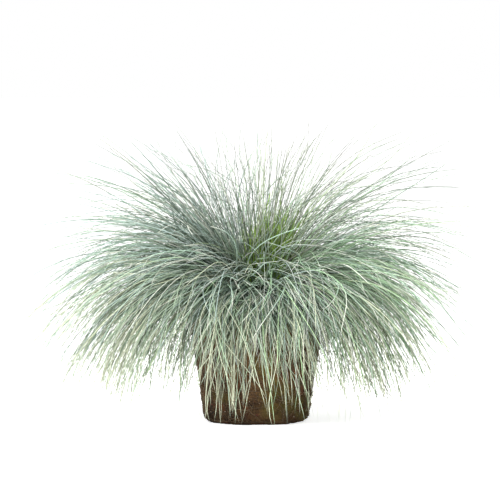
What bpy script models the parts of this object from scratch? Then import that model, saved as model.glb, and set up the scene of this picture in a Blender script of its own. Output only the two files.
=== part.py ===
"""Blue fescue clump on its bare, pot-shaped root ball.

Metres, +Z up. The origin is the middle of the root ball's flat underside and -Y is the front.
The clump is built the way it pulls apart by hand: the ball of compost and roots that a round
pot moulded, the domed crown of tiller bases on top of it, and the tufts of thread-like blades
that stand on the crown and bend under their own weight. A tuft's solid follows the middle of
its bundle of blades, from the crown to the tips.
"""

import math
import random

import bpy
from mathutils import Vector

# Root ball, from a round pot 130 mm across that holds one litre
BALL_HEIGHT = 0.102
BALL_RIM_RADIUS = 0.065
BALL_FOOT_RADIUS = 0.050
BALL_FOOT_ROUNDING = 0.007
BALL_RIM_ROUNDING = 0.004
ROUNDING_STEPS = 4
BALL_TURN_STEPS = 36

# Crown: a cap cut from a sphere, resting on the compost
CROWN_SPHERE_RADIUS = 0.045
CROWN_EDGE_ANGLE = math.radians(45)
CROWN_ARC_STEPS = 6
CROWN_TURN_STEPS = 28

GAP = 0.0004  # between pieces that rest on one another

# Rings of tufts, from the middle of the crown outwards. launch is how far a tuft leans as it
# leaves the crown, in degrees; length is in metres along the tuft; bend is how far its weight
# bows it; girth is the radius at its fullest; first is the first tuft's way round, in degrees.
RINGS = (
    {"name": "heart", "count": 3, "first": 50,
     "launch": 4, "length": 0.178, "bend": 1.2, "girth": 0.0045},
    {"name": "upright", "count": 6, "first": 20,
     "launch": 11, "length": 0.192, "bend": 1.7, "girth": 0.0050},
    {"name": "rising", "count": 8, "first": 0,
     "launch": 18, "length": 0.218, "bend": 2.3, "girth": 0.0058},
    {"name": "spreading", "count": 10, "first": 12,
     "launch": 24, "length": 0.230, "bend": 3.0, "girth": 0.0064},
    {"name": "arching", "count": 11, "first": 0,
     "launch": 30, "length": 0.240, "bend": 3.6, "girth": 0.0064},
    {"name": "drooping", "count": 10, "first": 6,
     "launch": 36, "length": 0.228, "bend": 4.3, "girth": 0.0062},
)
BEND_TAPER = 0.7  # a tuft bends most near the crown and least at its tips

# How far the clump has grown to each side, against its mean length
LEFT_REACH = 1.06
RIGHT_REACH = 0.96
FRONT_REACH = 0.78
BACK_REACH = 0.92

# A tuft's shape along its length
TUFT_STATIONS = 12
STEPS_PER_STATION = 8
TUFT_BASE_RADIUS = 0.0018
TUFT_TIP_RADIUS = 0.0020
TUFT_FULLEST_AT = 0.6
TUFT_CLEARANCE = 0.0006
FLOOR_CLEARANCE = 0.004

# Growth differs a little from tuft to tuft
LENGTH_SPREAD = 0.05
BEND_SPREAD = 0.07
TURN_SPREAD = 4.0  # degrees
SEED = 11


def clear_scene():
    for obj in list(bpy.data.objects):
        bpy.data.objects.remove(obj, do_unlink=True)


def make_material(name, colour, roughness):
    material = bpy.data.materials.new(name)
    material.use_nodes = True
    surface = material.node_tree.nodes["Principled BSDF"]
    surface.inputs["Base Color"].default_value = (*colour, 1)
    surface.inputs["Roughness"].default_value = roughness
    surface.inputs["Metallic"].default_value = 0
    return material


def add_part(name, data, collection, material):
    part = bpy.data.objects.new(name, data)
    part.data.materials.append(material)
    collection.objects.link(part)
    return part


def rounding(centre, radius, start_angle, end_angle):
    """Points on an arc in the XZ plane; angles are measured up from +X."""
    points = []
    for step in range(ROUNDING_STEPS + 1):
        angle = start_angle + (end_angle - start_angle) * step / ROUNDING_STEPS
        points.append((centre[0] + radius * math.cos(angle), 0, centre[1] + radius * math.sin(angle)))
    return points


def turned_part(name, profile, steps, collection, material):
    """A profile at +X, listed from the top of the axis to its foot, turned round Z."""
    mesh = bpy.data.meshes.new(name)
    mesh.from_pydata(profile, [(i, i + 1) for i in range(len(profile) - 1)], [])
    part = add_part(name, mesh, collection, material)
    screw = part.modifiers.new("Turn", "SCREW")
    screw.steps = screw.render_steps = steps
    screw.use_merge_vertices = True
    screw.merge_threshold = 0.0001
    screw.use_smooth_shade = True
    return part


def build_root_ball(collection, material):
    """Flat top and foot, tapered side, small rounding at the rim and a fuller one at the foot."""
    side_lean = math.atan2(BALL_RIM_RADIUS - BALL_FOOT_RADIUS, BALL_HEIGHT)
    rim_centre = (BALL_RIM_RADIUS - BALL_RIM_ROUNDING, BALL_HEIGHT - BALL_RIM_ROUNDING)
    foot_centre = (BALL_FOOT_RADIUS - BALL_FOOT_ROUNDING, BALL_FOOT_ROUNDING)
    profile = [(0, 0, BALL_HEIGHT)]
    profile += rounding(rim_centre, BALL_RIM_ROUNDING, math.radians(90), -side_lean)
    profile += rounding(foot_centre, BALL_FOOT_ROUNDING, -side_lean, math.radians(-90))
    profile += [(0, 0, 0)]
    return turned_part("root_ball", profile, BALL_TURN_STEPS, collection, material)


def crown_height():
    return CROWN_SPHERE_RADIUS * (1 - math.cos(CROWN_EDGE_ANGLE))


def build_crown(collection, material):
    sphere_middle = crown_height() - CROWN_SPHERE_RADIUS
    profile = []
    for step in range(CROWN_ARC_STEPS + 1):
        angle = CROWN_EDGE_ANGLE * step / CROWN_ARC_STEPS
        height = sphere_middle + CROWN_SPHERE_RADIUS * math.cos(angle)
        profile.append((CROWN_SPHERE_RADIUS * math.sin(angle), 0, height))
    profile += [(0, 0, 0)]
    crown = turned_part("crown", profile, CROWN_TURN_STEPS, collection, material)
    crown.location.z = BALL_HEIGHT + GAP
    return crown


def reach(turn):
    """How long blades are on this side of the clump, against their mean length."""
    sideways = LEFT_REACH if math.cos(turn) < 0 else RIGHT_REACH
    lengthways = FRONT_REACH if math.sin(turn) < 0 else BACK_REACH
    return sideways * math.cos(turn) ** 2 + lengthways * math.sin(turn) ** 2


def plan_tufts():
    """Each tuft's name, launch angle, way round the crown, length, bend and girth."""
    chance = random.Random(SEED)
    plan = []
    for ring in RINGS:
        for number in range(ring["count"]):
            degrees = ring["first"] + 360 * number / ring["count"]
            turn = math.radians(degrees + chance.uniform(-TURN_SPREAD, TURN_SPREAD))
            growth = reach(turn) * (1 + chance.uniform(-LENGTH_SPREAD, LENGTH_SPREAD))
            plan.append({
                "name": f"tuft_{ring['name']}_{number + 1:02d}",
                "launch": math.radians(ring["launch"]),
                "turn": turn,
                "length": ring["length"] * growth,
                "bend": ring["bend"] * (1 + chance.uniform(-BEND_SPREAD, BEND_SPREAD)),
                "girth": ring["girth"],
            })
    return plan


def tuft_line(tuft):
    """Points along a tuft: a springy rod, fixed square to the crown and bowed by its weight."""
    sphere_middle = Vector((0, 0, BALL_HEIGHT + GAP + crown_height() - CROWN_SPHERE_RADIUS))
    outward = Vector((math.cos(tuft["turn"]), math.sin(tuft["turn"]), 0))
    upward = Vector((0, 0, 1))
    lean = tuft["launch"]
    start = outward * math.sin(lean) + upward * math.cos(lean)
    point = sphere_middle + start * (CROWN_SPHERE_RADIUS + 2 * GAP)
    points = [point.copy()]
    steps = STEPS_PER_STATION * (TUFT_STATIONS - 1)
    for step in range(steps):
        to_tip = 1 - (step + 0.5) / steps
        lean += tuft["bend"] * to_tip ** BEND_TAPER * math.sin(lean) / steps
        point += (outward * math.sin(lean) + upward * math.cos(lean)) * tuft["length"] / steps
        if (step + 1) % STEPS_PER_STATION == 0:
            points.append(point.copy())
    return points


def full_radius(along, girth):
    """Slim at the crown, full where the blades fan out, slim again at the tips."""
    if along < TUFT_FULLEST_AT:
        share = math.sin(0.5 * math.pi * along / TUFT_FULLEST_AT)
        return TUFT_BASE_RADIUS + (girth - TUFT_BASE_RADIUS) * share
    share = math.cos(0.5 * math.pi * (along - TUFT_FULLEST_AT) / (1 - TUFT_FULLEST_AT))
    return TUFT_TIP_RADIUS + (girth - TUFT_TIP_RADIUS) * share


def distance_to_run(point, start, end):
    run = end - start
    share = min(max((point - start).dot(run) / run.length_squared, 0), 1)
    return (point - start - run * share).length


def distance_to_others(point, index, lines):
    """How far a point is from the closest part of any other tuft's line."""
    return min(
        distance_to_run(point, start, end)
        for other, line in enumerate(lines)
        if other != index
        for start, end in zip(line, line[1:])
    )


def tuft_radii(index, lines, girth):
    """Radii that keep a tuft clear of its neighbours and of the ground."""
    radii = []
    for station, point in enumerate(lines[index]):
        radius = full_radius(station / (TUFT_STATIONS - 1), girth)
        radius = min(radius, distance_to_others(point, index, lines) / 2 - TUFT_CLEARANCE)
        radii.append(min(radius, point.z - FLOOR_CLEARANCE))
    return radii


def build_tuft(name, line, radii, collection, material):
    curve = bpy.data.curves.new(name, "CURVE")
    curve.dimensions = "3D"
    curve.bevel_depth = 1
    curve.bevel_resolution = 1
    curve.use_fill_caps = True
    spline = curve.splines.new("POLY")
    spline.points.add(len(line) - 1)
    for knot, point, radius in zip(spline.points, line, radii):
        knot.co = (*point, 1)
        knot.radius = radius
    return add_part(name, curve, collection, material)


def main():
    clear_scene()
    collection = bpy.data.collections.new("blue_fescue_clump")
    bpy.context.scene.collection.children.link(collection)
    compost = make_material("compost", (0.062, 0.040, 0.021), 0.95)
    thatch = make_material("thatch", (0.33, 0.30, 0.16), 0.85)
    blade = make_material("fescue_blade", (0.25, 0.33, 0.26), 0.6)
    build_root_ball(collection, compost)
    build_crown(collection, thatch)
    plan = plan_tufts()
    lines = [tuft_line(tuft) for tuft in plan]
    for index, tuft in enumerate(plan):
        radii = tuft_radii(index, lines, tuft["girth"])
        build_tuft(tuft["name"], lines[index], radii, collection, blade)


main()
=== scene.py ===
import math

import bmesh
import bpy
import numpy as np
from mathutils import Matrix, Vector, noise


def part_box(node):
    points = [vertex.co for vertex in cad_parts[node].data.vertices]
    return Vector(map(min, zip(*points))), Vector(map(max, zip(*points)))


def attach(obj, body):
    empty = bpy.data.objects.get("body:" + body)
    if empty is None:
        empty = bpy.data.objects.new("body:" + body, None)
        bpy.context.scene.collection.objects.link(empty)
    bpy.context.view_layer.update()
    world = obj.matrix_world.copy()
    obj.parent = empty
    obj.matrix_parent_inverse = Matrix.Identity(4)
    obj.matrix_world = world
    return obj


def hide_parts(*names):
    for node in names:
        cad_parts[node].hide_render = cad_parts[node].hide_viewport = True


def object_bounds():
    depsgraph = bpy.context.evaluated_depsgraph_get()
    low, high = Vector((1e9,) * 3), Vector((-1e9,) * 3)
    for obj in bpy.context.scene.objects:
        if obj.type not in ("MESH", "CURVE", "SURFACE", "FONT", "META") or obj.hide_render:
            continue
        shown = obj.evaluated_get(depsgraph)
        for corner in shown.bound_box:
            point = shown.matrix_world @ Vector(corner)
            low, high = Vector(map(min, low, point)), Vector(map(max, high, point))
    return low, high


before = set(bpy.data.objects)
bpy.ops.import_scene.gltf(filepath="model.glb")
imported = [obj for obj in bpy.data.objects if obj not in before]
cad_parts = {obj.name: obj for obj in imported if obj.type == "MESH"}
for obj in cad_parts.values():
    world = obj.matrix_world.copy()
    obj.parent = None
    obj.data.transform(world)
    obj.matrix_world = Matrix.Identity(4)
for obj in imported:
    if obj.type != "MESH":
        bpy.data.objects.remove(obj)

cadLow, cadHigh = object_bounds()
ballLow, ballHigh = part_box("root_ball")
crownLow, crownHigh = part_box("crown")
chance = np.random.default_rng(48)


def linear(red, green, blue):
    # a screen colour, 0 to 255, made linear for the shader
    def channel(value):
        value = value / 255
        return value / 12.92 if value <= 0.04045 else ((value + 0.055) / 1.055) ** 2.4
    return channel(red), channel(green), channel(blue), 1


white = linear(255, 255, 255)


def linkPiece(name, mesh, material):
    piece = bpy.data.objects.new(name, mesh)
    bpy.context.scene.collection.objects.link(piece)
    mesh.materials.clear()
    mesh.materials.append(material)
    return piece


def finishPiece(piece, node):
    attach(piece, "root")
    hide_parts(node)
    return piece


def countTriangles(pieces):
    return sum(len(face.vertices) - 2 for piece in pieces for face in piece.data.polygons)


def newGroup(name, inputs, outputs):
    group = bpy.data.node_groups.new(name, "ShaderNodeTree")
    for label, kind, value in inputs:
        socket = group.interface.new_socket(label, in_out="INPUT", socket_type=kind)
        socket.default_value = value
    for label, kind in outputs:
        group.interface.new_socket(label, in_out="OUTPUT", socket_type=kind)
    return group, group.nodes.new("NodeGroupInput"), group.nodes.new("NodeGroupOutput")


def feed(links, socket, value):
    # a socket is fed by another node's output, or just set
    if isinstance(value, bpy.types.NodeSocket):
        links.new(value, socket)
    else:
        socket.default_value = value


def mixColour(nodes, links, factor, first, second, blend="MIX"):
    mix = nodes.new("ShaderNodeMix")
    mix.data_type = "RGBA"
    mix.blend_type = blend
    for number, value in ((0, factor), (6, first), (7, second)):
        feed(links, mix.inputs[number], value)
    return mix.outputs[2]


def smoothRange(nodes, links, value, low, high):
    ranger = nodes.new("ShaderNodeMapRange")
    ranger.interpolation_type = "SMOOTHSTEP"
    feed(links, ranger.inputs["Value"], value)
    feed(links, ranger.inputs["From Min"], low)
    feed(links, ranger.inputs["From Max"], high)
    return ranger.outputs["Result"]


def maths(nodes, links, operation, first, second):
    node = nodes.new("ShaderNodeMath")
    node.operation = operation
    feed(links, node.inputs[0], first)
    feed(links, node.inputs[1], second)
    return node.outputs[0]


# shares of a blade's length, but for sheathFadesFrom, which is a share of its sheath
bladeAging = {
    "sheathFadesFrom": 0.3,
    "driesFrom": 0.97,    # less the blade's own dryness
    "driesOver": 0.18,
}


def makeBladeAgeGroup():
    # colour along one blade: sheath, body between two greens, then a tip that dries back
    number, colour = "NodeSocketFloat", "NodeSocketColor"
    group, source, sink = newGroup(
        "bladeAge",
        (("Along", number, 0.5), ("Tint", number, 0.5), ("Dry", number, 0.0),
         ("Sheath End", number, 0.4), ("Sheath", colour, white), ("Waxy", colour, white),
         ("Fresh", colour, white), ("Tip", colour, white)),
        (("Color", colour),),
    )
    nodes, links = group.nodes, group.links
    given = source.outputs
    body = mixColour(nodes, links, given["Tint"], given["Waxy"], given["Fresh"])
    sheathFrom = maths(nodes, links, "MULTIPLY", given["Sheath End"], bladeAging["sheathFadesFrom"])
    fromBase = smoothRange(nodes, links, given["Along"], sheathFrom, given["Sheath End"])
    withSheath = mixColour(nodes, links, fromBase, given["Sheath"], body)
    dryFrom = maths(nodes, links, "SUBTRACT", bladeAging["driesFrom"], given["Dry"])
    dryTo = maths(nodes, links, "ADD", dryFrom, bladeAging["driesOver"])
    dried = smoothRange(nodes, links, given["Along"], dryFrom, dryTo)
    links.new(mixColour(nodes, links, dried, withSheath, given["Tip"]), sink.inputs["Color"])
    return group


def makeMottleGroup():
    # a brightness mask with two sizes of blotch, on Object coordinates
    number = "NodeSocketFloat"
    group, source, sink = newGroup(
        "mottle",
        (("Coarse", number, 40.0), ("Fine", number, 300.0), ("Contrast", number, 0.5)),
        (("Mask", number), ("Fine Mask", number)),
    )
    nodes, links = group.nodes, group.links
    place = nodes.new("ShaderNodeTexCoord")
    masks = []
    for label in ("Coarse", "Fine"):
        field = nodes.new("ShaderNodeTexNoise")
        field.inputs["Detail"].default_value = 4
        links.new(place.outputs["Object"], field.inputs["Vector"])
        links.new(source.outputs[label], field.inputs["Scale"])
        masks.append(field.outputs["Fac"])
    both = maths(nodes, links, "ADD", masks[0], masks[1])
    centred = maths(nodes, links, "SUBTRACT", both, 1.0)
    strong = maths(nodes, links, "MULTIPLY", centred, source.outputs["Contrast"])
    mask = maths(nodes, links, "ADD", strong, 0.5)
    links.new(mask, sink.inputs["Mask"])
    links.new(masks[1], sink.inputs["Fine Mask"])
    return group


bladeAge = makeBladeAgeGroup()
mottle = makeMottleGroup()


def newMaterial(name):
    material = bpy.data.materials.new(name)
    material.use_nodes = True
    surface = material.node_tree.nodes["Principled BSDF"]
    return material, material.node_tree.nodes, material.node_tree.links, surface


def addGroup(nodes, group, values):
    node = nodes.new("ShaderNodeGroup")
    node.node_tree = group
    for label, value in values.items():
        node.inputs[label].default_value = value
    return node


def addRoughness(nodes, links, surface, mask, least, added):
    rough = maths(nodes, links, "MULTIPLY", mask, added)
    links.new(maths(nodes, links, "ADD", rough, least), surface.inputs["Roughness"])


def addBump(nodes, links, surface, height, strength, distance):
    bump = nodes.new("ShaderNodeBump")
    bump.inputs["Strength"].default_value = strength
    bump.inputs["Distance"].default_value = distance
    links.new(height, bump.inputs["Height"])
    links.new(bump.outputs["Normal"], surface.inputs["Normal"])


def readAttribute(nodes, label):
    reader = nodes.new("ShaderNodeAttribute")
    reader.attribute_name = label
    return reader.outputs["Fac"]


def readAlong(nodes, links):
    # how far along its strand a point is, from the strip each strand has in the UV map
    strip = nodes.new("ShaderNodeUVMap")
    strip.uv_map = "OFBake"
    split = nodes.new("ShaderNodeSeparateXYZ")
    links.new(strip.outputs["UV"], split.inputs[0])
    return split.outputs["Y"]


# each kind of blade's colours, and how much of its length is sheath; the dark olive sheaths of the outer
# and older blades are partly their own colour and partly painted shade of the clump's inside
bladeLook = {
    "heart": {"Sheath": linear(120, 158, 22), "Waxy": linear(142, 174, 76), "Fresh": linear(130, 172, 38),
              "Tip": linear(196, 200, 172), "Sheath End": 0.9},
    "inner": {"Sheath": linear(106, 138, 30), "Waxy": linear(184, 192, 184), "Fresh": linear(164, 182, 138),
              "Tip": linear(198, 196, 192), "Sheath End": 0.5},
    "upper": {"Sheath": linear(98, 128, 40), "Waxy": linear(196, 206, 206), "Fresh": linear(184, 198, 176),
              "Tip": linear(206, 203, 200), "Sheath End": 0.42},
    "outer": {"Sheath": linear(70, 98, 26), "Waxy": linear(184, 204, 198), "Fresh": linear(160, 196, 152),
              "Tip": linear(226, 230, 216), "Sheath End": 0.44},
    "older": {"Sheath": linear(76, 96, 26), "Waxy": linear(186, 206, 184), "Fresh": linear(168, 200, 148),
              "Tip": linear(216, 222, 192), "Sheath End": 0.44},
}

# what every kind of blade shares
bladeCoat = {
    "blotches": {"Coarse": 45, "Fine": 420, "Contrast": 0.9},
    "blotchTone": linear(190, 190, 190),
    "bareTone": linear(72, 84, 60),    # painted shade: the darkest a blade is painted, where it has the least painted light
    "paleFrom": 0.5,                   # painted light on the tips grows from here to the tip
    # how much painted light each kind of blade has at its tip
    "paleEnds": {"heart": 0, "inner": 0.3, "upper": 0.4, "outer": 0.7, "older": 0.8},
    "roughness": (0.3, 0.5),           # least, and what the fine blotches add
}


def makeBladeMaterial(kind):
    material, nodes, links, surface = newMaterial("fescueBlade" + kind.capitalize())
    age = addGroup(nodes, bladeAge, bladeLook[kind])
    along = readAlong(nodes, links)
    links.new(along, age.inputs["Along"])
    links.new(readAttribute(nodes, "tint"), age.inputs["Tint"])
    links.new(readAttribute(nodes, "dry"), age.inputs["Dry"])
    blotch = addGroup(nodes, mottle, bladeCoat["blotches"])
    light = mixColour(nodes, links, blotch.outputs["Mask"], bladeCoat["blotchTone"], white)
    colour = mixColour(nodes, links, 1.0, age.outputs["Color"], light, "MULTIPLY")
    # painted light and shade: tips are painted paler, and each blade is darkened towards its base by its
    # own share of painted shade
    nearTip = smoothRange(nodes, links, along, bladeCoat["paleFrom"], 1.0)
    paintedTipLight = maths(nodes, links, "MULTIPLY", nearTip, bladeCoat["paleEnds"][kind])
    bloom = maths(nodes, links, "MAXIMUM", readAttribute(nodes, "bloom"), paintedTipLight)
    shade = mixColour(nodes, links, bloom, bladeCoat["bareTone"], white)
    colour = mixColour(nodes, links, 1.0, colour, shade, "MULTIPLY")
    links.new(colour, surface.inputs["Base Color"])
    addRoughness(nodes, links, surface, blotch.outputs["Fine Mask"], *bladeCoat["roughness"])
    return material


bladeMaterials = {kind: makeBladeMaterial(kind) for kind in bladeLook}
print("blade materials made")

strandShape = {
    "sides": 4,
    "segments": 14,
    "sheath": 0.8,        # half width at the foot, against the rest
    "sheathEnd": 0.15,
    "taperFrom": 0.5,
    "tip": 0.6,           # half width that the taper would reach at the tip
}


def strandTaper(along):
    # a little slimmer in the sheath, then a long fine point
    sheath = strandShape["sheath"] + (1 - strandShape["sheath"]) * min(along / strandShape["sheathEnd"], 1)
    point = max(along - strandShape["taperFrom"], 0) / (1 - strandShape["taperFrom"])
    return sheath * (1 - (1 - strandShape["tip"]) * point)


def makeStrand(sides, segments):
    # one straight strand up Z, a metre long and a metre in half width, closed at both ends
    bm = bmesh.new()
    bmesh.ops.create_cone(bm, cap_ends=True, cap_tris=False, segments=sides, radius1=1, radius2=1,
                          depth=1, matrix=Matrix.Translation((0, 0, 0.5)))
    lengthways = [edge for edge in bm.edges if abs(edge.verts[0].co.z - edge.verts[1].co.z) > 0.5]
    bmesh.ops.subdivide_edges(bm, edges=lengthways, cuts=segments - 1)
    strip = bm.loops.layers.uv.new("OFBake")
    for face in bm.faces:
        for loop in face.loops:
            # V runs up the strand, and the flat foot keeps a little area of its own
            corner = loop.vert.co
            across = 0.5 + 0.3 * corner.x + 0.15 * corner.y
            loop[strip].uv = (across, max(corner.z, 0.01 + 0.01 * corner.y))
    for vert in bm.verts:
        vert.co.xy *= strandTaper(vert.co.z)
    tip = [vert for vert in bm.verts if vert.co.z > 0.999]
    bmesh.ops.pointmerge(bm, verts=tip, merge_co=(0, 0, 1))
    bmesh.ops.recalc_face_normals(bm, faces=bm.faces)
    mesh = bpy.data.meshes.new("strand")
    bm.to_mesh(mesh)
    bm.free()
    return mesh


def stackCopies(name, source, count, material, shiftU=0.0):
    # many copies of one small shape in a single mesh, all still in the same place
    stack = linkPiece(name, source.copy(), material)
    copies = stack.modifiers.new("Copies", "ARRAY")
    copies.count = count
    copies.use_relative_offset = False
    copies.offset_u = shiftU
    mesh = bpy.data.meshes.new_from_object(stack.evaluated_get(bpy.context.evaluated_depsgraph_get()))
    bpy.data.objects.remove(stack)
    mesh.name = name
    corners = np.empty(len(mesh.vertices) * 3, np.float32)
    mesh.vertices.foreach_get("co", corners)
    return mesh, corners.reshape(count, -1, 3)


def layStrands(name, strand, paths, halfWidths, traits, material):
    # each strand of the stack is laid along its own path; traits are values that each strand keeps
    count, stations = paths.shape[:2]
    narrow = strand.copy()
    for loop in narrow.uv_layers["OFBake"].data:
        loop.uv[0] /= count
    mesh, shape = stackCopies(name, narrow, count, material, 1 / count)
    station = np.rint(shape[0, :, 2] * (stations - 1)).astype(int)
    forward = np.gradient(paths, axis=1)
    forward /= np.linalg.norm(forward, axis=2, keepdims=True) + 1e-12
    sideways = np.cross(forward, np.array((0, 0, 1.0)))
    flat = np.linalg.norm(sideways, axis=2, keepdims=True)
    nearlyUpright = flat <= 0.02
    sideways = np.where(nearlyUpright, np.array((1.0, 0, 0)), sideways / (flat + 1e-12))
    outwards = np.cross(sideways, forward)
    widths = halfWidths[:, None, None]
    placed = (paths[:, station] + shape[..., 0:1] * widths * sideways[:, station]
              + shape[..., 1:2] * widths * outwards[:, station])
    mesh.vertices.foreach_set("co", placed.astype(np.float32).ravel())
    for label, values in traits.items():
        layer = mesh.attributes.new(label, "FLOAT", "POINT")
        layer.data.foreach_set("value", np.repeat(values, shape.shape[1]).astype(np.float32))
    mesh.shade_smooth()
    mesh.update()
    return linkPiece(name, mesh, material)


ball = {
    "footShare": 0.77,       # radius at the foot against the rim
    "footRounding": 0.007,
    "footSteps": 8,
    "rimRounding": 0.004,
    "rimSteps": 4,
    "columns": 250,
    "sideRows": 84,
    "flatRows": 16,
    # sizes of lump in the peat: waves to a metre, and how far they stand out
    "lumps": ((36, 0.0011), (120, 0.0007), (380, 0.0005)),
}
rimRadius = (ballHigh.x - ballLow.x) / 2
ballHeight = ballHigh.z - ballLow.z


def ballRadiusAt(height):
    # the side of the root ball without its lumps, rounded in at the foot
    foot = rimRadius * ball["footShare"]
    side = foot + (rimRadius - foot) * np.clip(height / ballHeight, 0, 1)
    below = 1 - np.clip(height / ball["footRounding"], 0, 1)
    return side - ball["footRounding"] * (1 - np.sqrt(1 - below ** 2))


# how the clump grows; leans are in degrees from upright, and reaches are against the mean length
growth = {
    "launch": (0, 4, 11, 18, 24, 30, 36, 44),    # lean of a blade as it leaves the crown
    "length": (0.180, 0.182, 0.196, 0.222, 0.234, 0.244, 0.240, 0.220),
    "bend": (1.0, 1.1, 1.6, 2.3, 3.0, 3.7, 4.4, 5.0),
    "bendTaper": 0.7,         # it bends most near the crown
    "reach": {"left": 1.06, "right": 0.89, "front": 0.45, "back": 0.90},
    "trailingReach": 0.75,    # the least reach of the blades that trail down, on any side
    "fullReachFrom": 30,      # lean from which the four reaches hold in full
    "sideFocus": 3,           # higher keeps the reach of left and right to a narrower part of the clump
    "uprightRight": 0.23,     # upright blades are longer on the right by this share, shorter on the left
    "rightLean": 6,           # how far the middle of the clump leans to the right
    "frontParting": 13,       # how far upright blades lean further over at the front
    "partingFrom": 8,         # blades more upright than this are parted less
    "partingFocus": 4,        # higher makes the parting narrower
    "middle": (22, 34),       # the leans between which the middle's own ways fade out
    "spare": 0.020,           # how far a blade may grow past the tufts' own outline
    "groundGap": 0.001,
    "ballGap": 0.002,
    "rimGap": 0.001,          # blades no higher than this above the ball hang outside it
}

# each kind of blade: how many to a tuft, their leans in degrees, their lengths against the mean
# (least, usual, most), material, width, dryness, and how much fuller the clump's left side is
tuftLook = {
    "shoots": {"blades": 80, "launch": (0, 10), "length": (0.20, 0.40, 0.60), "look": "heart",
               "width": 1.0, "dry": 0.04, "fullerLeft": 0},
    "heart": {"blades": 14, "launch": (0, 9), "length": (0.40, 1.20, 1.50), "look": "inner",
              "width": 0.70, "dry": 0.10, "fullerLeft": 0},
    "upright": {"blades": 18, "launch": (6, 15), "length": (0.55, 1.32, 1.60), "look": "inner",
                "width": 0.60, "dry": 0.22, "fullerLeft": -0.35},
    "rising": {"blades": 32, "launch": (13, 22), "length": (0.50, 1.22, 1.55), "look": "upper",
               "width": 0.65, "dry": 0.22, "fullerLeft": -0.35},
    "spreading": {"blades": 72, "launch": (20, 28), "length": (0.42, 0.92, 1.32), "look": "outer",
                  "width": 0.76, "dry": 0.16, "fullerLeft": 0.05},
    "arching": {"blades": 145, "launch": (26, 34), "length": (0.42, 0.90, 1.28), "look": "outer",
                "width": 0.86, "dry": 0.20, "fullerLeft": 0.15},
    "drooping": {"blades": 138, "launch": (32, 42), "length": (0.42, 1.00, 1.45), "look": "older",
                 "width": 0.80, "dry": 0.28, "fullerLeft": 0.20},
    "trailing": {"blades": 22, "launch": (36, 48), "length": (0.80, 1.10, 1.40), "look": "older",
                 "width": 0.72, "dry": 0.5, "fullerLeft": 0},
}

# the kinds of blade in each ring of tufts
ringKinds = {
    "heart": ("heart", "shoots"),
    "upright": ("upright",),
    "rising": ("rising",),
    "spreading": ("spreading",),
    "arching": ("arching",),
    "drooping": ("drooping", "trailing"),
}

bladeShape = {
    "halfWidth": 0.00047,
    "widthSpread": 0.35,
    "tiller": 4,              # blades that share one base
    "sectorShare": 0.6,       # of its tuft's sector that a tiller may stand to either side
    "leanSpread": 1.5,        # degrees between the blades of one tiller
    "turnSpread": 2,
    "launchSpread": 2.5,      # degrees that a blade's foot leans off square to the crown
    "rootedIn": 0.001,        # depth of a blade's foot under the dome of the crown
    "curl": 36,               # degrees that a blade turns sideways along its length
    "stagger": 27,            # degrees between its heading and straight outwards
    "waver": 7,               # degrees that it snakes up and down
    "waverSideways": 2,       # how many times as much it snakes sideways
    "waves": (3, 9),          # radians of snaking along its length
    "bendSpread": (0.75, 1.3),
    "bendByLength": 0.8,      # a short blade is stiffer than a long one
    "unrulyShare": 0.30,      # blades that cross the others
    "unrulyStagger": 58,
    "unrulyCurl": 32,
    "unrulyLength": 0.9,
    "stragglerShare": 0.035,  # blades that have outgrown the rest
    "stragglerLength": 1.3,
    "stragglerBend": 0.6,
    "stragglerWidth": 1.2,
    "trimmed": (0.85, 1),     # how much is kept of what is inside the outline
    "pathSteps": 4,           # steps of the sum for each segment of a strand
}

bladeTraits = {
    "tint": (1.6, 2.0),       # beta spread between the waxy and the fresh green
    "tuftTint": 0.2,          # how far a whole tuft differs
    "tintRight": 0.2,         # blades are fresher on the right by this much
    # beta spread of each blade's random tone and painted light, from dark to light
    "bloom": (1.0, 0.9),
    # painted light: blades on the right are painted lighter by this much
    "bloomRight": 0.1,
    "strawShare": 0.02,       # blades that are dry most of the way
    "strawDry": (0.5, 0.95),
    "mostDry": 0.6,
}


def sideReach(turn, launch):
    # the clump is wider than it is deep, and more so in its low blades than in its upright ones
    sides = growth["reach"]
    across = np.where(np.cos(turn) < 0, sides["left"], sides["right"])
    lengthways = np.where(np.sin(turn) < 0, sides["front"], sides["back"])
    reach = lengthways + (across - lengthways) * np.abs(np.cos(turn)) ** growth["sideFocus"]
    upright = 1 + growth["uprightRight"] * np.cos(turn)
    low = np.clip(launch / math.radians(growth["fullReachFrom"]), 0, 1)
    return upright + (reach - upright) * low


def leanMiddle(turn, launch):
    # the middle leans to the right, and it is parted at the front, where its green heart shows
    parted = np.clip(launch / math.radians(growth["partingFrom"]), 0, 1)
    facing = np.clip(-np.sin(turn), 0, 1) ** growth["partingFocus"] * parted
    inner, outer = growth["middle"]
    middle = np.clip((math.radians(outer) - launch) / math.radians(outer - inner), 0, 1)
    across = launch * np.cos(turn) + math.radians(growth["rightLean"]) * middle
    depth = launch * np.sin(turn) - math.radians(growth["frontParting"]) * facing * middle
    return np.arctan2(depth, across), np.hypot(across, depth)


def direction(lean, heading):
    return np.stack((np.sin(lean) * np.cos(heading), np.sin(lean) * np.sin(heading), np.cos(lean)), axis=1)


def crownSphere():
    # radius and middle height of the sphere that the crown is a cap of
    height = crownHigh.z - crownLow.z
    edge = (crownHigh.x - crownLow.x) / 2
    radius = (edge ** 2 + height ** 2) / (2 * height)
    return radius, crownHigh.z - radius


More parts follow.
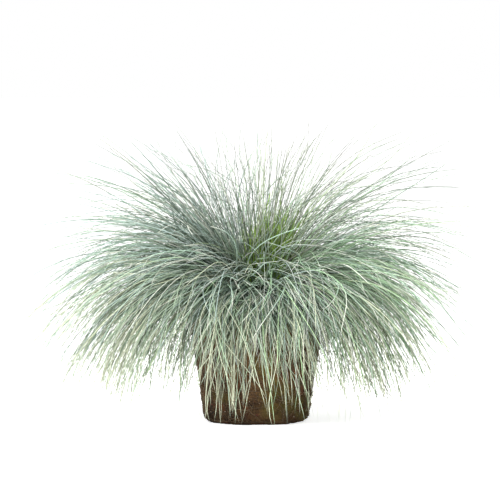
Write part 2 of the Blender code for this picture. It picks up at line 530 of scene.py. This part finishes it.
def bladePaths(launch, turn, heading, length, bend, curl):
    # a springy rod fixed in the crown, bowed by its own weight and snaking a little
    count = len(launch)
    steps = strandShape["segments"] * bladeShape["pathSteps"]
    radius, middle = crownSphere()
    point = direction(launch, turn) * (radius - bladeShape["rootedIn"]) + (0, 0, middle)
    lean = np.abs(launch + np.radians(chance.normal(0, bladeShape["launchSpread"], count)))
    waver = np.radians(chance.normal(0, bladeShape["waver"], (2, count)))
    phase = chance.uniform(0, 2 * math.pi, (2, count))
    waves = chance.uniform(*bladeShape["waves"], count)
    level = np.full(count, math.pi / 2)
    points = [point]
    for step in range(steps):
        along = (step + 0.5) / steps
        lean = lean + bend * (1 - along) ** growth["bendTaper"] * np.sin(lean) / steps
        snake = waver * np.sin(phase + waves * along) * along ** 0.5
        way = heading + curl * along
        sidelong = direction(level, way + math.pi / 2) * bladeShape["waverSideways"] * snake[1][:, None]
        run = direction(lean + snake[0], way) + sidelong
        run /= np.linalg.norm(run, axis=1, keepdims=True)
        point = point + run * (length / steps)[:, None]
        if (step + 1) % bladeShape["pathSteps"] == 0:
            points.append(point)
    return keepClear(trimToOutline(np.stack(points, axis=1)))


def trimToOutline(paths):
    # a blade that would leave the clump's outline, or lie along the ground, is a shorter blade
    stations = paths.shape[1]
    low = np.array(cadLow) - (growth["spare"], growth["spare"], -growth["groundGap"])
    high = np.array(cadHigh) + (growth["spare"], growth["spare"], 0)
    outside = ((paths < low) | (paths > high)).any(axis=2)
    for number in np.flatnonzero(outside.any(axis=1)):
        last = (outside[number].argmax() - 1) * chance.uniform(*bladeShape["trimmed"])
        kept = np.linspace(0, last, stations)
        for axis in range(3):
            paths[number, :, axis] = np.interp(kept, np.arange(stations), paths[number, :, axis])
    return paths


def keepClear(paths):
    # blades hang outside the root ball
    out = np.hypot(paths[..., 0], paths[..., 1])
    clear = ballRadiusAt(paths[..., 2]) + growth["ballGap"]
    within = (paths[..., 2] < ballHigh.z + growth["rimGap"]) & (out < clear)
    push = np.where(within, clear / np.maximum(out, 1e-6), 1)
    paths[..., :2] *= push[..., None]
    return paths


def tuftTurn(node):
    # which way round the clump a tuft grows: from the axis towards its tip
    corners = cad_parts[node].data.vertices
    tip = max(corners, key=lambda vert: (vert.co - Vector((0, 0, crownHigh.z))).length)
    return math.atan2(tip.co.y, tip.co.x)


def standBlades(node, look, count, tuftsInRing):
    # the blades stand on the crown in tillers, each tuft in its own sector of its ring
    sector = 2 * math.pi / tuftsInRing
    tillers = count // bladeShape["tiller"] + 1
    owner = chance.integers(0, tillers, count)
    low, high = look["launch"]
    tillerLaunch = np.radians(np.sqrt(chance.uniform(low ** 2, high ** 2, tillers)))
    share = bladeShape["sectorShare"]
    tillerTurn = tuftTurn(node) + chance.uniform(-share, share, tillers) * sector
    leanSpread = np.radians(chance.normal(0, bladeShape["leanSpread"], count))
    launch = np.abs(tillerLaunch[owner] + leanSpread)
    turn = tillerTurn[owner] + np.radians(chance.normal(0, bladeShape["turnSpread"], count))
    return leanMiddle(turn, launch)


def drawTraits(kind, turn, count):
    # each blade's own tint, how far it has dried back, and its random tone with painted light and shade;
    # trailing blades are all straw
    straw = (chance.random(count) < bladeTraits["strawShare"]) | (kind == "trailing")
    tuftTint = bladeTraits["tuftTint"]
    tint = chance.beta(*bladeTraits["tint"], count) + chance.uniform(-tuftTint, tuftTint)
    tint = tint + bladeTraits["tintRight"] * np.cos(turn)
    strawDry = chance.uniform(*bladeTraits["strawDry"], count)
    dry = np.clip(chance.exponential(tuftLook[kind]["dry"], count), 0, bladeTraits["mostDry"])
    bloom = chance.beta(*bladeTraits["bloom"], count) + bladeTraits["bloomRight"] * np.cos(turn)
    return {
        "tint": np.clip(tint, 0, 1),
        "dry": np.where(straw, strawDry, dry),
        "bloom": np.clip(bloom, 0, 1),
    }


def growTuft(node, kind, strand, tuftsInRing):
    look = tuftLook[kind]
    count = round(look["blades"] * (1 - look["fullerLeft"] * math.cos(tuftTurn(node))))
    turn, launch = standBlades(node, look, count, tuftsInRing)
    unruly = chance.random(count) < bladeShape["unrulyShare"]
    stagger = np.where(unruly, bladeShape["unrulyStagger"], bladeShape["stagger"])
    heading = turn + np.radians(chance.normal(0, 1, count) * stagger)
    curl = np.where(unruly, bladeShape["unrulyCurl"], bladeShape["curl"])
    curl = np.radians(chance.normal(0, 1, count) * curl)
    reach = sideReach(turn, launch)
    if kind == "trailing":
        reach = np.maximum(reach, growth["trailingReach"])
    degrees = np.degrees(launch)
    length = np.interp(degrees, growth["launch"], growth["length"]) * reach
    grown = chance.triangular(*look["length"], count) * np.where(unruly, bladeShape["unrulyLength"], 1)
    bend = np.interp(degrees, growth["launch"], growth["bend"])
    bend = bend * chance.uniform(*bladeShape["bendSpread"], count) * grown ** bladeShape["bendByLength"]
    straggler = chance.random(count) < bladeShape["stragglerShare"]
    length = length * grown * np.where(straggler, bladeShape["stragglerLength"], 1)
    bend = bend * np.where(straggler, bladeShape["stragglerBend"], 1)
    paths = bladePaths(launch, turn, heading, length, bend, curl)
    halfWidths = 1 + bladeShape["widthSpread"] * chance.uniform(-1, 1, count)
    usualWidth = bladeShape["halfWidth"] * look["width"]
    halfWidths *= usualWidth * np.where(straggler, bladeShape["stragglerWidth"], 1)
    traits = drawTraits(kind, turn, count)
    name = node + ("_blades" if kind in node else "_" + kind)
    piece = layStrands(name, strand, paths, halfWidths, traits, bladeMaterials[look["look"]])
    return finishPiece(piece, node)


def growClump():
    strand = makeStrand(strandShape["sides"], strandShape["segments"])
    pieces = []
    for ring, kinds in ringKinds.items():
        nodes = sorted(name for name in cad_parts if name.startswith("tuft_" + ring))
        pieces += [growTuft(node, kind, strand, len(nodes)) for kind in kinds for node in nodes]
    return pieces


tufts = growClump()
print("blades made:", countTriangles(tufts), "triangles")

peatLook = {
    "blotches": {"Coarse": 60, "Fine": 520, "Contrast": 1.7},
    # the peat's own dark and pale browns, both made darker as painted shade from the foliage over the ball
    "dark": linear(16, 10, 4),
    "pale": linear(98, 72, 44),
    # noise scale, the part of the noise that shows, and its tone
    "stains": {
        "reddish bark dust": (85, 0.56, 0.70, linear(98, 56, 34)),
        # olive-green patches, scattered at random
        "algae and moss": (26, 0.50, 0.64, linear(92, 82, 36)),
        "pale fibre ends": (900, 0.66, 0.72, linear(176, 152, 118)),
    },
    "stainStrength": 0.7,
    "specular": 0.25,
    "roughness": (0.65, 0.35),    # least, and what the fine blotches add
    "bump": (0.9, 0.0016),        # strength, and height in metres
}


def makeCompostMaterial():
    material, nodes, links, surface = newMaterial("rootedCompost")
    blotch = addGroup(nodes, mottle, peatLook["blotches"])
    colour = mixColour(nodes, links, blotch.outputs["Mask"], peatLook["dark"], peatLook["pale"])
    place = nodes.new("ShaderNodeTexCoord")
    for label, (scale, low, high, tone) in peatLook["stains"].items():
        field = nodes.new("ShaderNodeTexNoise")
        field.label = label
        field.inputs["Scale"].default_value = scale
        field.inputs["Detail"].default_value = 3
        links.new(place.outputs["Object"], field.inputs["Vector"])
        shown = smoothRange(nodes, links, field.outputs["Fac"], low, high)
        stain = maths(nodes, links, "MULTIPLY", shown, peatLook["stainStrength"])
        colour = mixColour(nodes, links, stain, colour, tone)
    links.new(colour, surface.inputs["Base Color"])
    surface.inputs["Specular IOR Level"].default_value = peatLook["specular"]
    addRoughness(nodes, links, surface, blotch.outputs["Fine Mask"], *peatLook["roughness"])
    addBump(nodes, links, surface, blotch.outputs["Fine Mask"], *peatLook["bump"])
    return material


fibreLook = {
    "blotches": {"Coarse": 120, "Fine": 700, "Contrast": 1.2},
    "wornTone": linear(170, 160, 150),
    "buriedTo": 0.35,    # share of its length that is darkened by the soil
}


def makeFibreMaterial(name, dark, pale, roughness):
    # dry roots, sheaths and litter: a tone of its own for each strand, darker where it is buried
    material, nodes, links, surface = newMaterial(name)
    surface.inputs["Roughness"].default_value = roughness
    tone = mixColour(nodes, links, readAttribute(nodes, "tint"), dark, pale)
    blotch = addGroup(nodes, mottle, fibreLook["blotches"])
    worn = mixColour(nodes, links, blotch.outputs["Mask"], fibreLook["wornTone"], white)
    colour = mixColour(nodes, links, 1.0, tone, worn, "MULTIPLY")
    buried = smoothRange(nodes, links, readAlong(nodes, links), 0.0, fibreLook["buriedTo"])
    colour = mixColour(nodes, links, buried, dark, colour)
    links.new(colour, surface.inputs["Base Color"])
    return material


grainLook = {
    "blotches": {"Coarse": 160, "Fine": 1400, "Contrast": 1.8},
    "roughness": 0.8,
    "bump": (0.5, 0.0003),
}


def makeGrainMaterial(name, dark, pale):
    material, nodes, links, surface = newMaterial(name)
    surface.inputs["Roughness"].default_value = grainLook["roughness"]
    blotch = addGroup(nodes, mottle, grainLook["blotches"])
    links.new(mixColour(nodes, links, blotch.outputs["Mask"], dark, pale), surface.inputs["Base Color"])
    addBump(nodes, links, surface, blotch.outputs["Fine Mask"], *grainLook["bump"])
    return material


def skinHeight(place):
    # how far the peat stands out at a point of the root ball
    return sum(height * noise.noise(place * waves) for waves, height in ball["lumps"])


def arcPoints(across, up, radius, start, end, steps):
    angles = [math.radians(start + (end - start) * step / steps) for step in range(steps + 1)]
    return [(across + radius * math.cos(angle), 0, up + radius * math.sin(angle)) for angle in angles]


def turnOutline(bm, columns):
    bmesh.ops.spin(bm, geom=bm.verts[:] + bm.edges[:], cent=(0, 0, 0), axis=(0, 0, 1), dvec=(0, 0, 0),
                   angle=2 * math.pi, steps=columns, use_merge=True, use_duplicate=False)
    bmesh.ops.remove_doubles(bm, verts=bm.verts, dist=1e-5)
    bmesh.ops.recalc_face_normals(bm, faces=bm.faces)
    bm.normal_update()


def makePeat():
    foot = rimRadius * ball["footShare"]
    slope = math.degrees(math.atan2(rimRadius - foot, ballHeight))
    rim, heel = ball["rimRounding"], ball["footRounding"]
    rimArc = arcPoints(rimRadius - rim, ballHeight - rim, rim, 90, -slope, ball["rimSteps"])
    footArc = arcPoints(foot - heel, heel, heel, -slope, -90, ball["footSteps"])
    bm = bmesh.new()
    outline = [bm.verts.new(point) for point in [(0, 0, ballHeight)] + rimArc + footArc + [(0, 0, 0)]]
    runs = [bm.edges.new(pair) for pair in zip(outline, outline[1:])]
    bmesh.ops.subdivide_edges(bm, edges=[runs[0], runs[-1]], cuts=ball["flatRows"])
    bmesh.ops.subdivide_edges(bm, edges=[runs[len(rimArc)]], cuts=ball["sideRows"])
    turnOutline(bm, ball["columns"])
    for vert in bm.verts:
        vert.co += vert.normal * skinHeight(vert.co)
        vert.co.z = max(vert.co.z, 0)
    mesh = bpy.data.meshes.new("root_ball_peat")
    bm.to_mesh(mesh)
    bm.free()
    mesh.shade_smooth()
    return finishPiece(linkPiece("root_ball_peat", mesh, compost), "root_ball")


def liftToSkin(radius, turn, height, outwards):
    # points on a smooth ball, moved out to its lumpy skin
    smooth = np.stack((radius * np.cos(turn), radius * np.sin(turn), height), axis=1)
    lift = np.array([skinHeight(Vector(place)) for place in smooth])[:, None]
    return smooth + lift * outwards


def sidePoints(turn, height):
    outwards = np.stack((np.cos(turn), np.sin(turn), 0 * turn), axis=1)
    return liftToSkin(ballRadiusAt(height), turn, height, outwards)


def topPoints(turn, radius):
    # points on the open compost around the crown
    return liftToSkin(radius, turn, np.full(len(turn), ballHeight), (0, 0, 1))


rootLook = {
    "count": 420,
    "sides": 3,
    "length": (0.015, 0.075),
    "halfWidth": (0.00012, 0.00042),
    "wander": 0.4,              # how sharply a root turns from one stretch to the next
    "starts": (0.004, 0.097),   # heights on the ball
    "keepsTo": (0.003, 0.099),
    "tint": (1.2, 1.6),
}


def makeRoots():
    # fine roots that the pot pressed flat against the outside of the ball
    count = rootLook["count"]
    segments = strandShape["segments"]
    step = chance.uniform(*rootLook["length"], count) / segments
    turn = chance.uniform(0, 2 * math.pi, count)
    height = chance.uniform(*rootLook["starts"], count)
    aim = chance.uniform(0, 2 * math.pi, count)
    points = []
    for station in range(segments + 1):
        points.append(sidePoints(turn, height))
        aim = aim + chance.normal(0, rootLook["wander"], count)
        turn = turn + np.cos(aim) * step / ballRadiusAt(height)
        height = np.clip(height + np.sin(aim) * step, *rootLook["keepsTo"])
    halfWidths = chance.uniform(*rootLook["halfWidth"], count)
    traits = {"tint": chance.beta(*rootLook["tint"], count)}
    strand = makeStrand(rootLook["sides"], segments)
    piece = layStrands("root_ball_roots", strand, np.stack(points, axis=1), halfWidths, traits, rootFibre)
    return finishPiece(piece, "root_ball")


def randomTurns(count):
    # a rotation matrix for each copy, from random unit quaternions
    w, x, y, z = chance.normal(0, 1, (count, 4)).T
    size = np.sqrt(w * w + x * x + y * y + z * z)
    w, x, y, z = w / size, x / size, y / size, z / size
    rows = ((1 - 2 * (y * y + z * z), 2 * (x * y - w * z), 2 * (x * z + w * y)),
            (2 * (x * y + w * z), 1 - 2 * (x * x + z * z), 2 * (y * z - w * x)),
            (2 * (x * z - w * y), 2 * (y * z + w * x), 1 - 2 * (x * x + y * y)))
    return np.moveaxis(np.array(rows), 2, 0)


# bits on the ball's skin: how many, radius in metres and how flat and narrow they are
bitLook = {
    "crumbs": {"side": 1500, "top": 500, "radius": (0.0006, 0.0018), "shape": (1, 0.8, 0.6)},
    "bark": {"side": 150, "top": 60, "radius": (0.0012, 0.0035), "shape": (1, 0.45, 0.2)},
    "grains": {"side": 110, "top": 40, "radius": (0.0003, 0.0009), "shape": (1, 0.85, 0.75)},
}
bitSpread = {
    "lumps": (2, 0.35),         # waves across a bit, and how far they stand out
    "heights": (0.0035, 0.1),   # on the side of the ball
    "topShare": (0.2, 0.88),    # of the top's area, from its middle outwards
    "sizes": (1, 3),            # beta spread from the small radius to the large
}


def makeBits(kind, material):
    look = bitLook[kind]
    waves, lump = bitSpread["lumps"]
    bm = bmesh.new()
    bmesh.ops.create_icosphere(bm, subdivisions=1, radius=1)
    for vert in bm.verts:
        vert.co *= 1 + lump * noise.noise(vert.co * waves)
    bit = bpy.data.meshes.new(kind)
    bm.to_mesh(bit)
    bm.free()
    turn = chance.uniform(0, 2 * math.pi, look["side"])
    side = sidePoints(turn, chance.uniform(*bitSpread["heights"], look["side"]))
    out = rimRadius * np.sqrt(chance.uniform(*bitSpread["topShare"], look["top"]))
    places = np.concatenate((side, topPoints(chance.uniform(0, 2 * math.pi, look["top"]), out)))
    count = len(places)
    small, large = look["radius"]
    sizes = small + (large - small) * chance.beta(*bitSpread["sizes"], count)
    sizes = sizes[:, None] * np.array(look["shape"])
    mesh, shape = stackCopies("root_ball_" + kind, bit, count, material)
    placed = np.einsum("nij,nkj->nki", randomTurns(count), shape * sizes[:, None]) + places[:, None]
    mesh.vertices.foreach_set("co", placed.astype(np.float32).ravel())
    mesh.update()
    return finishPiece(linkPiece("root_ball_" + kind, mesh, material), "root_ball")


crownLook = {
    "columns": 96,
    "rows": 22,
    "lumps": (260, 0.0018),     # waves to a metre, and how far they stand out
}


def makeCrownDome():
    radius, middle = crownSphere()
    edge = math.degrees(math.asin((crownHigh.x - crownLow.x) / 2 / radius))
    waves, lump = crownLook["lumps"]
    bm = bmesh.new()
    arc = arcPoints(0, middle, radius, 90, 90 - edge, crownLook["rows"])
    outline = [bm.verts.new(point) for point in arc + [(0, 0, crownLow.z)]]
    for pair in zip(outline, outline[1:]):
        bm.edges.new(pair)
    turnOutline(bm, crownLook["columns"])
    for vert in bm.verts:
        if vert.co.z > crownLow.z + 0.0001:
            vert.co += vert.normal * lump * noise.noise(vert.co * waves)
    mesh = bpy.data.meshes.new("crown_dome")
    bm.to_mesh(mesh)
    bm.free()
    mesh.shade_smooth()
    return finishPiece(linkPiece("crown_dome", mesh, mattedThatch), "crown")


# angles are in degrees, but for bow, which is in radians to a segment: its mean and spread
sheathLook = {
    "count": 900,
    "segments": 4,
    "length": (0.004, 0.022),
    "halfWidth": (0.0005, 0.0011),
    "dome": 45,           # how far down the dome they stand
    "leanSpread": 14,
    "headingSpread": 25,
    "rootedIn": 0.0015,
    "bow": (0.05, 0.12),
    "tint": (1.3, 1.3),
}


def makeSheaths():
    # the short dry sheaths that are left around every tiller's base
    look = sheathLook
    count, segments = look["count"], look["segments"]
    radius, middle = crownSphere()
    launch = np.radians(look["dome"]) * np.sqrt(chance.uniform(0, 1, count))
    turn = chance.uniform(0, 2 * math.pi, count)
    lean = np.abs(launch + np.radians(chance.normal(0, look["leanSpread"], count)))
    heading = turn + np.radians(chance.normal(0, look["headingSpread"], count))
    step = chance.uniform(*look["length"], count) / segments
    points = [direction(launch, turn) * (radius - look["rootedIn"]) + (0, 0, middle)]
    for station in range(segments):
        lean = lean + chance.normal(*look["bow"], count)
        points.append(points[-1] + direction(lean, heading) * step[:, None])
    halfWidths = chance.uniform(*look["halfWidth"], count)
    traits = {"tint": chance.beta(*look["tint"], count)}
    strand = makeStrand(strandShape["sides"], segments)
    piece = layStrands("crown_sheaths", strand, np.stack(points, axis=1), halfWidths, traits, drySheath)
    return finishPiece(piece, "crown")


litterLook = {
    "count": 220,
    "segments": 4,
    "length": (0.008, 0.032),
    "halfWidth": (0.0003, 0.0006),
    "topShare": (0.22, 0.86),       # of the ball's top, from its middle outwards
    "height": (0.0006, 0.0022),     # above the compost
    "curl": 0.5,                    # radians along its length
    "gap": 0.0005,
    "tint": (1.5, 1.1),
}


def makeLitter():
    # dead blades broken off and lying on the compost around the crown
    look = litterLook
    count, segments = look["count"], look["segments"]
    turn = chance.uniform(0, 2 * math.pi, count)
    out = rimRadius * np.sqrt(chance.uniform(*look["topShare"], count))
    raised = np.stack((0 * out, 0 * out, chance.uniform(*look["height"], count)), axis=1)
    middle = topPoints(turn, out) + raised
    heading = chance.uniform(0, 2 * math.pi, count)
    curl = chance.normal(0, look["curl"], count)
    length = chance.uniform(*look["length"], count)
    points = []
    for station in range(segments + 1):
        along = station / segments - 0.5
        run = direction(np.full(count, math.pi / 2), heading + curl * along)
        points.append(middle + run * (length * along)[:, None])
    paths = np.stack(points, axis=1)
    paths[..., 2] = ballHeight + np.abs(paths[..., 2] - ballHeight) + look["gap"]
    traits = {"tint": chance.beta(*look["tint"], count)}
    halfWidths = chance.uniform(*look["halfWidth"], count)
    strand = makeStrand(strandShape["sides"], segments)
    piece = layStrands("crown_litter", strand, paths, halfWidths, traits, drySheath)
    return finishPiece(piece, "crown")


compost = makeCompostMaterial()
rootFibre = makeFibreMaterial("fineRoot", linear(78, 58, 38), linear(158, 134, 102), 0.7)
drySheath = makeFibreMaterial("drySheath", linear(84, 70, 40), linear(190, 174, 128), 0.65)
bark = makeGrainMaterial("compostedBark", linear(66, 32, 18), linear(128, 74, 46))
paleGrain = makeGrainMaterial("paleGrain", linear(158, 140, 116), linear(226, 214, 194))
mattedThatch = makeGrainMaterial("mattedThatch", linear(62, 50, 26), linear(140, 122, 76))
print("compost and thatch materials made")

soil = [makePeat(), makeRoots()]
soil += [makeBits("crumbs", compost), makeBits("bark", bark), makeBits("grains", paleGrain)]
print("root ball made:", countTriangles(soil), "triangles")

thatch = [makeCrownDome(), makeSheaths(), makeLitter()]
print("crown made:", countTriangles(thatch), "triangles")

studio = {
    "target": (-0.0062, 0, 0.1665),
    "elevation": 2.4,     # degrees above the level
    "distance": 4,
    "lens": 297,
    "sensor": 36,
    "world": 0.62,
    "key": 82,            # watts
    "softboxSize": 1.2,
    "softboxPlace": (-0.5, -0.7, 1.5),
    "floorTone": 0.95,
    "floorRoughness": 0.8,
    "floorGlow": 0.75,    # only for the camera, which sees the floor nearly white
    "floorSize": 60,
    "floorDrop": 0.0002,
}


def makeCamera():
    data = bpy.data.cameras.new("camera")
    data.lens = studio["lens"]
    data.sensor_width = studio["sensor"]
    camera = bpy.data.objects.new("camera", data)
    bpy.context.scene.collection.objects.link(camera)
    lift = math.radians(studio["elevation"])
    back = Vector((0, -math.cos(lift), math.sin(lift)))
    camera.location = Vector(studio["target"]) + back * studio["distance"]
    camera.rotation_euler = back.to_track_quat("Z", "Y").to_euler()
    bpy.context.scene.camera = camera


def makeLights():
    world = bpy.data.worlds.new("studio")
    bpy.context.scene.world = world
    world.use_nodes = True
    nodes, links = world.node_tree.nodes, world.node_tree.links
    background = nodes["Background"]
    background.inputs["Color"].default_value = white
    # the backdrop is seen white, whatever light it gives
    sight = nodes.new("ShaderNodeLightPath")
    rest = maths(nodes, links, "MULTIPLY", sight.outputs["Is Camera Ray"], 1 - studio["world"])
    links.new(maths(nodes, links, "ADD", rest, studio["world"]), background.inputs["Strength"])
    data = bpy.data.lights.new("softbox", "AREA")
    data.shape = "SQUARE"
    data.size = studio["softboxSize"]
    data.energy = studio["key"]
    lamp = bpy.data.objects.new("softbox", data)
    lamp.location = studio["softboxPlace"]
    aim = lamp.location - Vector(studio["target"])
    lamp.rotation_euler = aim.to_track_quat("Z", "Y").to_euler()
    bpy.context.scene.collection.objects.link(lamp)


def makeFloor():
    bm = bmesh.new()
    bmesh.ops.create_grid(bm, x_segments=1, y_segments=1, size=studio["floorSize"],
                          matrix=Matrix.Translation((0, 0, -studio["floorDrop"])))
    mesh = bpy.data.meshes.new("floor")
    bm.to_mesh(mesh)
    bm.free()
    material, nodes, links, surface = newMaterial("paleFloor")
    tone = studio["floorTone"]
    surface.inputs["Base Color"].default_value = (tone, tone, tone, 1)
    surface.inputs["Roughness"].default_value = studio["floorRoughness"]
    surface.inputs["Emission Color"].default_value = white
    sight = nodes.new("ShaderNodeLightPath")
    glow = maths(nodes, links, "MULTIPLY", sight.outputs["Is Camera Ray"], studio["floorGlow"])
    links.new(glow, surface.inputs["Emission Strength"])
    linkPiece("floor", mesh, material)


makeCamera()
makeLights()
makeFloor()
bpy.context.scene.view_settings.view_transform = "Standard"
print("camera, lights and floor made")
